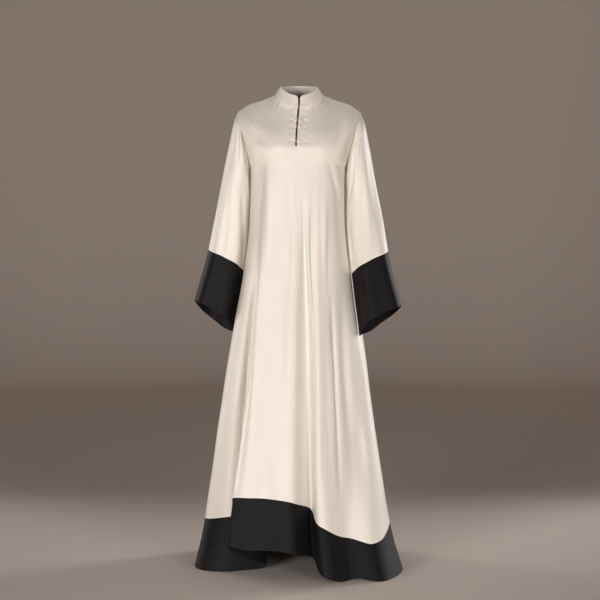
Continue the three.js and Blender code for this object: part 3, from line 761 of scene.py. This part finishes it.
def makeBodyGrid(turns, isBack, creases):
    points = panelPoint(turns[None], gridLevels[:, None], isBack)
    inSkirt = gridLevels >= panels["skirtFromLevel"]
    strength = np.where(inSkirt, panels["evenSkirt"], panels["evenBodice"])[:, None, None]
    points = relaxed(points, panels["evenPasses"], strength)
    normals = gridNormals(points)
    away = edgeDistance(points)
    settle = 1 - bell(away, panels["settleReach"])
    lift = creaseField(creases, points[..., 0], points[..., 2]) * settle
    lift += undulation(points[..., 0], points[..., 2], panels["undulation"]) * settle
    lift -= panels["seamDip"] * bell(away, panels["seamDipReach"])
    points = points + normals * lift[..., None]
    points[..., 2] = np.maximum(points[..., 2], panels["lowest"])
    return points


# A grid drawn in a little at its edges, to leave half a seam's gap.
def pulledIn(points, first=0, last=0, left=0, right=0):
    points = points.copy()
    for edge, inner, gap in ((0, 1, first), (-1, -2, last)):
        points[edge] += unit(points[inner] - points[edge]) * gap
    for edge, inner, gap in ((0, 1, left), (-1, -2, right)):
        points[:, edge] += unit(points[:, inner] - points[:, edge]) * gap
    return points


# Columns of the grids, closer together where the folds are tight.
frontTurns = stepsBetween([
    (-90, -58, 30), (-58, -40, 30), (-40, -14, 26), (-14, -1, 27), (-1, 1, 3),
    (1, 14, 27), (14, 36, 38), (36, 90, 44),
])
backTurns = stepsBetween([(90, 144, 50), (144, 216, 64), (216, 270, 50)])

frontBody = makeBodyGrid(frontTurns, False, frontCreases)
backBody = makeBodyGrid(backTurns, True, backCreases)


def addBodyPieces(which, grid, turns):
    half = panels["seamGap"] / 2
    upper = pulledIn(grid[:seamRow + 1], last=half, left=half, right=half)
    lower = pulledIn(grid[seamRow:], first=half, left=half, right=half)
    gone = None
    if which == "front":
        inSlit = np.abs((turns[:-1] + turns[1:]) / 2) < slit["halfAngle"]
        gone = (gridLevels[:seamRow] < slit["endLevel"])[:, None] & inSlit[None]
    print(which, "panel cut", gridSize(upper), "band cut", gridSize(lower))
    panel = makeSheet(f"{which}Cloth", upper, panels["thickness"], gone=gone)
    finishPiece(panel, cream, "cream_satin", f"{which}_panel")
    band = makeSheet(f"{which}HemBand", lower, panels["bandThickness"])
    finishPiece(band, black, "black_satin", f"hem_band_{which}")


addBodyPieces("front", frontBody, frontTurns)
addBodyPieces("back", backBody, backTurns)
print("body panels and hem bands made")

# Sleeves and cuffs.

sleeves = {
    "thickness": 1.2,
    "cuffThickness": 1.6,
    "seamGap": 0.3,
    "underarmEase": 2.2,
    "easeFrom": 0.45,
    "easeOver": 0.4,
    "headMiddle": (173, 3, -144),
    "mouthSkew": 0.6,
    "aroundSteps": 116,
    "sleeveSteps": 116,
    "cuffSteps": 36,
    "nearArmhole": (0, 1.2, 3, 5.5),
    "nearCuff": (0.8, 2.2, 5),
    "plainFrom": 9,
    "evenPasses": 12,
    "evenStrength": 0.4,
    "undulation": 0.5,
    "undulationWidth": 1.2,
    "undulationShift": 60,
    "flat": (0.46, 0.46),
    "area": 0.135,
    "cuffFlat": (0.44, 0.2),
}

# Rings down each sleeve, from below its head to the mouth. Outer is the side away from the body.
sleeveColumns = "outerX outerZ innerX innerZ y halfDepth frontRise backDrop pinch"
rightRings = table(sleeveColumns, [
    [205, -84, 159, -246, 2, 60, 0, 0, 0],
    [219, -146, 159, -268, 2, 63, 0, 0, 0.15],
    [244, -262, 160, -338, 8, 61, 0, 0, 0.3],
    [268, -384, 166, -450, 18, 58, 0, 2, 0.4],
    [292, -496, 179, -563, 30, 58, 9, 8, 0.45],
    [338, -656, 208, -757, 48, 58, 18, 22, 0.5],
])
leftRings = table(sleeveColumns, [
    [206, -84, 151, -246, 0, 60, 0, 0, 0],
    [219, -146, 150, -268, -4, 63, 0, 0, 0.15],
    [240, -262, 149, -338, -12, 60, 0, 0, 0.3],
    [262, -384, 153, -450, -28, 58, 0, 2, 0.4],
    [281, -502, 167, -571, -58, 56, 9, 6, 0.45],
    [322, -670, 190, -764, -96, 54, 22, 14, 0.5],
])

# Folds that grow down the sleeve, in degrees round it, with start a share of its length.
sleeveFolds = table("around out spread start", [
    [48, 7, 20, 0.15],
    [82, -8, 18, 0.22],
    [116, 8, 20, 0.3],
    [150, -5, 16, 0.35],
    [216, 6, 18, 0.3],
    [250, -8, 18, 0.2],
    [292, 7, 22, 0.25],
])

# u is in degrees from the shoulder side over the front, and v is down the sleeve in millimetres.
rightSleeveCreases = table(creaseColumns, [
    [60, 4, 88, 22, 112, 90, 9, 5, 0.4],
    [50, 8, 76, 40, 98, 150, 7, -4.5, 0.5],
    [96, 3, 134, 24, 168, 84, 12, -8, 0.5],
    [140, 60, 156, 130, 166, 250, 9, 4, 0.5],
    [116, 110, 138, 240, 160, 390, 12, -10, 0.65],
    [98, 140, 112, 280, 126, 430, 12, 4, 0.6],
    [40, 60, 50, 220, 58, 440, 13, 3, 0.5],
    [70, 200, 76, 330, 84, 470, 10, -2.6, 0.6],
    [24, 120, 26, 280, 22, 480, 13, -2.6, 0.5],
    [214, 30, 226, 160, 236, 380, 12, -5, 0.4],
    [262, 10, 270, 120, 276, 330, 13, 4, 0.4],
    [300, 20, 304, 160, 306, 420, 13, -4, 0.5],
    [334, 60, 332, 220, 334, 460, 12, 2.6, 0.5],
])
leftSleeveCreases = table(creaseColumns, [
    [96, 10, 120, 88, 158, 210, 10, -9.5, 0.5],
    [74, 8, 100, 80, 130, 230, 10, 4, 0.5],
    [134, 6, 150, 60, 164, 150, 7, 4, 0.5],
    [156, 14, 168, 80, 176, 170, 6, -4, 0.5],
    [84, 110, 98, 260, 112, 420, 9, -5, 0.6],
    [66, 90, 76, 250, 88, 430, 10, 3.4, 0.5],
    [122, 200, 130, 300, 140, 430, 10, 3, 0.5],
    [146, 180, 154, 300, 162, 430, 9, -5, 0.6],
    [36, 40, 42, 180, 46, 400, 13, -3, 0.5],
    [18, 140, 18, 300, 16, 500, 13, 2.6, 0.5],
    [208, 30, 220, 150, 232, 360, 12, -5, 0.4],
    [256, 20, 262, 140, 268, 360, 13, 4, 0.4],
    [294, 30, 300, 190, 302, 430, 13, -4, 0.5],
])


def downEdge(turn, level, isBack):
    low = np.minimum(level + smallStep["level"], body["bodiceLevels"])
    high = np.maximum(level - smallStep["level"], 0)
    return panelPoint(turn, low, isBack) - panelPoint(turn, high, isBack)


def edgeNormal(turn, level, isBack):
    centre = 180 if isBack else 0
    right = np.minimum(turn + smallStep["turn"], centre + 90)
    left = np.maximum(turn - smallStep["turn"], centre - 90)
    along = panelPoint(right, level, isBack) - panelPoint(left, level, isBack)
    return unit(np.cross(downEdge(turn, level, isBack), along))


def armholeEdge(side, around):
    level = body["bodiceLevels"] * np.minimum(around, 360 - around) / 180
    result = []
    for isBack in (False, True):
        turn = np.full_like(around, 180 - side * 90 if isBack else side * 90)
        normal = edgeNormal(turn, level, isBack)
        outwards = np.cross(unit(downEdge(turn, level, isBack)), normal)
        if isBack == (side < 0):
            outwards = -outwards
        share = (level / body["bodiceLevels"] - sleeves["easeFrom"]) / sleeves["easeOver"]
        ease = sleeves["underarmEase"] * np.clip(share, 0, 1)
        here = panelPoint(turn, level, isBack)
        result.append(here + outwards * sleeves["seamGap"] + normal * ease[:, None])
    return np.where((around <= 180)[:, None], *result)


def ringMiddle(row):
    return np.array([(row["outerX"] + row["innerX"]) / 2, row["y"], (row["outerZ"] + row["innerZ"]) / 2])


def sleeveRing(side, row, angle):
    middle = ringMiddle(row)
    reachX, reachZ = (row["outerX"] - row["innerX"]) / 2, (row["outerZ"] - row["innerZ"]) / 2
    x = side * (middle[0] + reachX * np.cos(angle))
    swing = np.sin(angle)
    frontRise = row["frontRise"] * (1 - sleeves["mouthSkew"] * np.cos(angle))
    y = middle[1] - row["halfDepth"] * swing * np.abs(swing) ** row["pinch"]
    z = middle[2] + reachZ * np.cos(angle) + swing * np.where(swing > 0, frontRise, row["backDrop"])
    return np.stack([x, y, z], -1)


# How far down the sleeve each row of its grid lies, closer together at the two seams.
def sleeveRows(seam, hem):
    plain, near = sleeves["plainFrom"], np.array(sleeves["nearCuff"])
    middle = np.linspace(plain, seam - plain, sleeves["sleeveSteps"] - 6)
    below = np.linspace(seam + near[-1], hem, sleeves["cuffSteps"] - 2)
    upper = np.concatenate([sleeves["nearArmhole"], middle, seam - near[::-1]])
    return upper, np.concatenate([[seam], seam + near[:-1], below])


def sleeveGrid(side, rings, creases):
    around = np.linspace(0, 360, sleeves["aroundSteps"] + 1)
    angle = np.radians(around)
    start = armholeEdge(side, around)
    start[-1] = start[0]
    rows = rowsOf(rings)
    stations = [start] + [sleeveRing(side, row, angle) for row in rows]
    lengths = runLengths(np.array([sleeves["headMiddle"]] + [ringMiddle(row) for row in rows]))
    seam, hem = lengths[-2], lengths[-1]
    sleeveWays, cuffWays = sleeveRows(seam, hem)
    ways = np.concatenate([sleeveWays, cuffWays])
    stations = np.stack(stations)[:, None]
    grid = np.broadcast_arrays(ways[:, None], around[None])[0]
    wide = np.broadcast_to(stations, (len(lengths), len(ways)) + stations.shape[2:])
    points = np.stack([smoothThrough(lengths, wide[..., axis], grid) for axis in range(3)], -1)
    out = np.zeros_like(grid)
    for fold in rowsOf(sleeveFolds):
        growth = np.clip((grid / hem - fold["start"]) / (1 - fold["start"]), 0, 1)
        out += fold["out"] * growth * bell(around[None] - fold["around"], fold["spread"])
    points[..., 0] += side * out * np.cos(angle)[None]
    points[..., 1] -= out * np.sin(angle)[None]
    if side > 0:
        points = points[:, ::-1]
    points = relaxed(points, sleeves["evenPasses"], sleeves["evenStrength"], closed=True)
    normals = gridNormals(points, closed=True)
    aroundHere = np.broadcast_to((around if side < 0 else around[::-1])[None], grid.shape)
    away = np.minimum(grid, np.abs(grid - seam))
    settle = 1 - bell(away, panels["settleReach"])
    lift = sum(creaseField(creases, aroundHere + lap, grid) for lap in (-360, 0, 360)) * settle
    rippleU = np.degrees(np.sin(np.radians(aroundHere))) * sleeves["undulationWidth"]
    ripple = undulation(rippleU, grid + sleeves["undulationShift"], sleeves["undulation"])
    lift += ripple * settle - panels["seamDip"] * bell(away, panels["seamDipReach"])
    points = points + normals * lift[..., None]
    points[:, -1] = points[:, 0]
    return points, len(sleeveWays)


def addSleeve(which, side, rings, creases):
    points, seamAt = sleeveGrid(side, rings, creases)
    gap = sleeves["seamGap"] / 2
    upper = pulledIn(points[:seamAt + 1], last=gap)
    lower = pulledIn(points[seamAt:], first=gap)
    print(which, "sleeve cut", gridSize(upper), "cuff cut", gridSize(lower))
    sleeve = makeSheet(f"{which}Sleeve", upper, sleeves["thickness"], closed=True)
    finishPiece(sleeve, cream, "cream_satin", f"sleeve_{which}")
    cuff = makeSheet(f"{which}Cuff", lower, sleeves["cuffThickness"], closed=True)
    finishPiece(cuff, black, "black_satin", f"cuff_{which}")


addSleeve("right", -1, rightRings, rightSleeveCreases)
addSleeve("left", 1, leftRings, leftSleeveCreases)
print("sleeves and cuffs made")

# Collar.

collar = {
    "height": 31,
    "lean": 30,
    "frontLean": 14,
    "cornerRadius": 15,
    "thickness": 1.8,
    "rows": 18,
    "frontSteps": 60,
    "backSteps": 90,
    "cornerDrop": 0.8,
    "puckers": 0.35,
    "puckerReach": 9,
    "bulge": 0.5,
    "seamDip": 0.6,
    "seamDipReach": 2.5,
    "stitchLift": 0.05,
    "flat": (0.443, 0.031),
}


def collarBase():
    frontEdge = neck["share"] * 90
    turns = np.concatenate([
        np.linspace(-slit["halfAngle"], -frontEdge, collar["frontSteps"]),
        np.linspace(180 + frontEdge, 180 - frontEdge, collar["backSteps"])[1:-1],
        np.linspace(frontEdge, slit["halfAngle"], collar["frontSteps"]),
    ])
    isBack = (np.abs(turns) > 90)[:, None]

    def neckLine(level):
        return np.where(isBack, panelPoint(turns, level, True), panelPoint(turns, level, False))

    return neckLine(0) + unit(neckLine(0) - neckLine(smallStep["level"])) * panels["seamGap"]


# Makes the collar and gives back its outer face, for the stitching.
def addCollar():
    base = collarBase()
    runs = runLengths(base)
    fromEnd = np.minimum(runs, runs[-1] - runs)
    drop = np.clip(1 - fromEnd / collar["cornerRadius"], 0, 1)
    rounding = collar["cornerRadius"] * (1 - np.sqrt(1 - drop ** 2))
    height = collar["height"] - rounding * collar["cornerDrop"]
    inward = np.array([0, neck["pointDepth"], 0]) - base
    inward[:, 2] = 0
    inward = unit(inward)
    lean = np.radians(mix(collar["frontLean"], collar["lean"], np.abs(inward[:, 0])))
    rise = inward * np.sin(lean)[:, None]
    rise[:, 2] = np.cos(lean)
    ways = np.linspace(1, 0, collar["rows"] + 1)[:, None, None]
    points = base[None] + rise[None] * ways * height[None, :, None]
    normals = gridNormals(points)
    fromSeam = ways[..., 0] * height[None]
    pucker = np.sin(runs / 3.1 + np.sin(runs / 17)) * np.sin(runs / 23 + 1)
    lift = collar["puckers"] * pucker[None] * bell(fromSeam, collar["puckerReach"])
    lift += collar["bulge"] * np.sin(runs / 26 + 0.6)[None] * np.sin(math.pi * ways[..., 0])
    lift -= collar["seamDip"] * bell(fromSeam, collar["seamDipReach"])
    points = points + normals * lift[..., None]
    print("collar cut", gridSize(points))
    piece = makeSheet("collarCloth", points, collar["thickness"])
    finishPiece(piece, cream, "cream_satin", "collar")
    normals = gridNormals(points)
    normals *= -np.sign((normals * inward[None]).sum(-1, keepdims=True))
    return points + normals * (collar["thickness"] / 2 + collar["stitchLift"])


collarFace = addCollar()[:, 2:-2]
print("collar made")

# Placket strips, buttons and loops.

closure = {
    "heights": [-46, -90, -112, -157],
    "stripOuterAngle": 5.4,
    "stripTopLevel": 0.12,
    "stripEndLevel": 10,
    "stripRows": 90,
    "stripColumns": 9,
    "stripMargin": 0.06,
    "stripThickness": 0.9,
    "stripLift": 1.15,
    "stripRipple": 0.25,
    "stripEdgeDrop": 0.45,
    "stripPinch": 0.12,
    "buttonRadius": 3.6,
    "buttonHeight": 3.4,
    "buttonAngle": 3.1,
    "buttonSeat": 0.7,
    "buttonDome": 0.6,
    "gathers": 11,
    "gatherDepth": 0.035,
    "loopRadius": 0.85,
    "loopHalfSpread": 4.6,
    "loopTailAngle": -3.9,
    "loopClearance": 0.5,
    "loopTailDrop": 0.6,
    "loopTailSpread": 0.4,
    "loopSides": 10,
    "loopEndTaper": 0.55,
    "stripFlat": (0.012, 0.169),
}

frontNormals = gridNormals(frontBody)


# A point on the finished front at a turn and a level, lifted off the cloth.
def onFront(turn, level, lift):
    turn, level = np.broadcast_arrays(np.asarray(turn, float), np.asarray(level, float))
    column = np.interp(turn, frontTurns, np.arange(len(frontTurns)))
    row = np.interp(level, gridLevels, np.arange(len(gridLevels)))
    j = np.clip(column.astype(int), 0, len(frontTurns) - 2)
    i = np.clip(row.astype(int), 0, len(gridLevels) - 2)
    t, s = (column - j)[..., None], (row - i)[..., None]

    def read(grid):
        return mix(mix(grid[i, j], grid[i, j + 1], t), mix(grid[i + 1, j], grid[i + 1, j + 1], t), s)

    return read(frontBody) + unit(read(frontNormals)) * lift, unit(read(frontNormals))


def levelAtHeight(z):
    levels = np.linspace(0, body["bodiceLevels"], 2000)
    heights = onFront(0 * levels, levels, 0)[0][:, 2]
    return float(np.interp(-z, -heights, levels))


def addStrip(which, side):
    levels = np.linspace(closure["stripTopLevel"], closure["stripEndLevel"], closure["stripRows"])
    share = np.linspace(closure["stripMargin"], 1 - closure["stripMargin"], closure["stripColumns"])
    edge = np.sort(mix(slit["halfAngle"], closure["stripOuterAngle"], share) * side)
    points, normals = onFront(edge[None], levels[:, None], closure["stripLift"])
    down = points[..., 2]
    tight = sum(bell(down - z, 4) for z in closure["heights"])
    fromMiddle = np.abs(np.linspace(-1, 1, closure["stripColumns"]))[None]
    lift = closure["stripRipple"] * np.sin(down / 3.4 + np.sin(down / 13)) * fromMiddle ** 3
    lift -= closure["stripEdgeDrop"] * fromMiddle ** 4 + closure["stripPinch"] * tight
    points = points + normals * lift[..., None]
    print(which, "strip cut", gridSize(points))
    strip = makeSheet(f"{which}Strip", points, closure["stripThickness"])
    finishPiece(strip, cream, "cream_satin", f"placket_strip_{which}")


addStrip("right", -1)
addStrip("left", 1)


# Rings round a path, one for each of its points, in a row that closes on itself.
def ringsRound(path, radius, sides):
    ahead = unit(np.gradient(path, axis=0))
    outwards = np.array([0, -1, 0.0])
    first = unit(outwards - ahead * (ahead @ outwards)[:, None])
    second = np.cross(ahead, first)
    angle = np.linspace(0, 2 * math.pi, sides + 1)
    ring = np.cos(angle)[None, :, None] * first[:, None] + np.sin(angle)[None, :, None] * second[:, None]
    return path[:, None] + ring * radius[:, None, None]


# A covered button: a low dome, gathered a little round its rim.
def addButton(n, level):
    place, normal = onFront(closure["buttonAngle"], level, closure["stripLift"] + closure["buttonSeat"])
    height, dome = closure["buttonHeight"], closure["buttonDome"]
    deselectAll()
    bpy.ops.mesh.primitive_uv_sphere_add(segments=32, ring_count=18, radius=1)
    button = bpy.context.object
    button.name = f"button{n}"
    sphere = readPoints(button.data)
    around = np.arctan2(sphere[:, 1], sphere[:, 0])
    rim = bell(sphere[:, 2] + 0.25, 0.3)
    gathers = closure["gatherDepth"] * np.sin(closure["gathers"] * around)
    wide = closure["buttonRadius"] * (1 + gathers * rim)
    tall = sphere[:, 2] * height * np.where(sphere[:, 2] > 0, dome, 1 - dome)
    side = unit(np.cross([0, 0, 1.0], normal))
    up = np.cross(normal, side)
    moved = place + (sphere[:, :1] * side + sphere[:, 1:2] * up) * wide[:, None]
    writePoints(button.data, moved + (tall + height * (1 - dome))[:, None] * normal)
    closeUp()
    smooth("trim")
    finishPiece(button, cream, "covered_button", f"button_{n}")


# A narrow cord that leaves the other strip, crosses the slit and passes round the button.
def addLoop(n, level):
    stripTop = closure["stripLift"] + closure["stripThickness"] / 2
    lift = stripTop + closure["loopRadius"] + closure["loopClearance"]
    middle, normal = onFront(closure["buttonAngle"], level, lift)
    tail, _ = onFront(closure["loopTailAngle"], level, lift - closure["loopTailDrop"])
    side = unit(np.array([1, 0, 0.0]) - normal * normal[0])
    up = np.cross(normal, side)
    spread = closure["loopHalfSpread"]
    angle = np.radians(np.linspace(90, -90, 15))
    bend = middle + spread * (np.cos(angle)[:, None] * side + np.sin(angle)[:, None] * up)
    apart = up * spread * closure["loopTailSpread"]
    ways = np.linspace(0, 1, 10)[:, None]
    upper = mix(tail + apart, bend[0], ways[:-1])
    lower = mix(bend[-1], tail - apart, ways[1:])
    path = np.concatenate([upper, bend, lower])
    radius = np.full(len(path), closure["loopRadius"])
    radius[[0, -1]] *= closure["loopEndTaper"]
    cord = makeGrid(f"loop{n}", ringsRound(path, radius, closure["loopSides"]))
    closeUp(endSides=closure["loopSides"])
    smooth("trim")
    finishPiece(cord, cream, "cream_satin", f"button_loop_{n}")


stitches = {
    "pitch": 3.1,
    "length": 2.3,
    "radius": 0.19,
    "sides": 6,
    "tip": 0.01,
    "shoulder": 0.22,
    "fromEdge": 0.16,
    "fromTop": 0.3,
    "fromEnd": 0.2,
    "liftOnStrip": 0.42,
}


# A row of short closed stitches along a path.
def addStitches(name, path):
    runs = runLengths(path)
    starts = np.arange(stitches["pitch"] / 2, runs[-1] - stitches["pitch"], stitches["pitch"])
    parts = np.array([0, stitches["shoulder"], 1 - stitches["shoulder"], 1])
    spots = (starts[:, None] + stitches["length"] * parts[None]).ravel()
    along = np.stack([np.interp(spots, runs, path[:, axis]) for axis in range(3)], axis=-1)
    radius = stitches["radius"] * np.tile([stitches["tip"], 1, 1, stitches["tip"]], len(starts))
    between = np.tile([False, False, False, True], len(starts))[:-1]
    gone = np.repeat(between[:, None], stitches["sides"], axis=1)
    row = makeGrid(name, ringsRound(along, radius, stitches["sides"]), gone)
    closeUp()
    smooth("trim")
    finishPiece(row, cream, "cream_satin")


for which, side in (("right", -1), ("left", 1)):
    angle = mix(closure["stripOuterAngle"], slit["halfAngle"], stitches["fromEdge"]) * side
    levels = np.linspace(stitches["fromTop"], closure["stripEndLevel"] - stitches["fromEnd"], 120)
    path, _ = onFront(angle, levels, closure["stripLift"] + stitches["liftOnStrip"])
    addStitches(f"{which}StripStitches", path)
addStitches("collarEdgeStitches", collarFace[1])
addStitches("collarSeamStitches", collarFace[-2])

for number, height in enumerate(closure["heights"], 1):
    level = levelAtHeight(height)
    addButton(number, level)
    addLoop(number, level)
print("placket, buttons and loops made")

# Floor, light and camera.

studio = {
    "paper": (0.74, 0.66, 0.595),
    "paperRoughness": 0.9,
    "paperSpecular": 0.1,
    "floorHeight": -1500.5,
    "floorReach": 6200,
    "bendRadius": 1600,
    "wallTop": 6000,
    "sky": (0.60, 0.57, 0.54),
    "skyStrength": 0.19,
    "aim": (0, 0, -0.8),
    "softLightSize": (1.5, 1.5),
    "keyPlace": (-2.3, -4.5, -0.8),
    "keyPower": 140,
    "fillPlace": (2.4, -4.6, -0.8),
    "fillPower": 92,
    "rimAim": (0, -0.1, -0.8),
    "rimPlace": (2.0, 1.3, -0.35),
    "rimSize": (0.6, 1.7),
    "rimSpread": 75,
    "leftRimPower": 7,
    "rightRimPower": 3.5,
    "cameraPlace": (0.003, -4.8, -0.5),
    "cameraTilt": 1.86,
    "lens": 90,
    "sensor": 36,
}


# Pale paper that lies on the floor and bends up into a wall all round, like a studio cove.
def addBackdrop():
    bend = np.linspace(0, math.pi / 2, 24)
    radius = studio["bendRadius"]
    reach = np.concatenate([[0], studio["floorReach"] + radius * np.sin(bend)])
    height = np.concatenate([[0], radius * (1 - np.cos(bend))]) + studio["floorHeight"]
    reach = np.append(reach, reach[-1])[:, None]
    height = np.append(height, studio["wallTop"])[:, None]
    angle = np.linspace(0, 2 * math.pi, 97)[None]
    points = np.stack(np.broadcast_arrays(reach * np.cos(angle), reach * np.sin(angle), height), axis=-1)
    backdrop = makeGrid("backdrop", points)
    closeUp(inside=True)
    smooth("paper")
    finish = Finish("palePaper")
    finish.set({
        "Base Color": (*studio["paper"], 1),
        "Roughness": studio["paperRoughness"],
        "Specular IOR Level": studio["paperSpecular"],
    })
    backdrop.data.materials.append(finish.material)


def addLight(name, place, target, size, power, spread=180):
    bpy.ops.object.light_add(type="AREA", location=place)
    light = bpy.context.object
    light.name = name
    light.data.shape = "RECTANGLE"
    light.data.size, light.data.size_y = size
    light.data.energy = power
    light.data.spread = math.radians(spread)
    way = [t - p for t, p in zip(target, place)]
    pitch = math.atan2(math.hypot(way[0], way[1]), -way[2])
    light.rotation_euler = (pitch, 0, math.atan2(way[1], way[0]) - math.pi / 2)


def addRim(name, side, power):
    place = (side * studio["rimPlace"][0], *studio["rimPlace"][1:])
    addLight(name, place, studio["rimAim"], studio["rimSize"], power, studio["rimSpread"])


addBackdrop()
addLight("keyLight", studio["keyPlace"], studio["aim"], studio["softLightSize"], studio["keyPower"])
addLight("fillLight", studio["fillPlace"], studio["aim"], studio["softLightSize"], studio["fillPower"])
addRim("leftRim", 1, studio["leftRimPower"])
addRim("rightRim", -1, studio["rightRimPower"])
world = bpy.data.worlds.new("studio")
world.use_nodes = True
sky = world.node_tree.nodes["Background"].inputs
sky["Color"].default_value = (*studio["sky"], 1)
sky["Strength"].default_value = studio["skyStrength"]
bpy.context.scene.world = world
bpy.context.scene.view_settings.view_transform = "Standard"

bpy.ops.object.camera_add(
    location=studio["cameraPlace"], rotation=(math.radians(90 - studio["cameraTilt"]), 0, 0)
)
camera = bpy.context.object
camera.data.lens = studio["lens"]
camera.data.sensor_width = studio["sensor"]
bpy.context.scene.camera = camera
print("floor, light and camera placed")
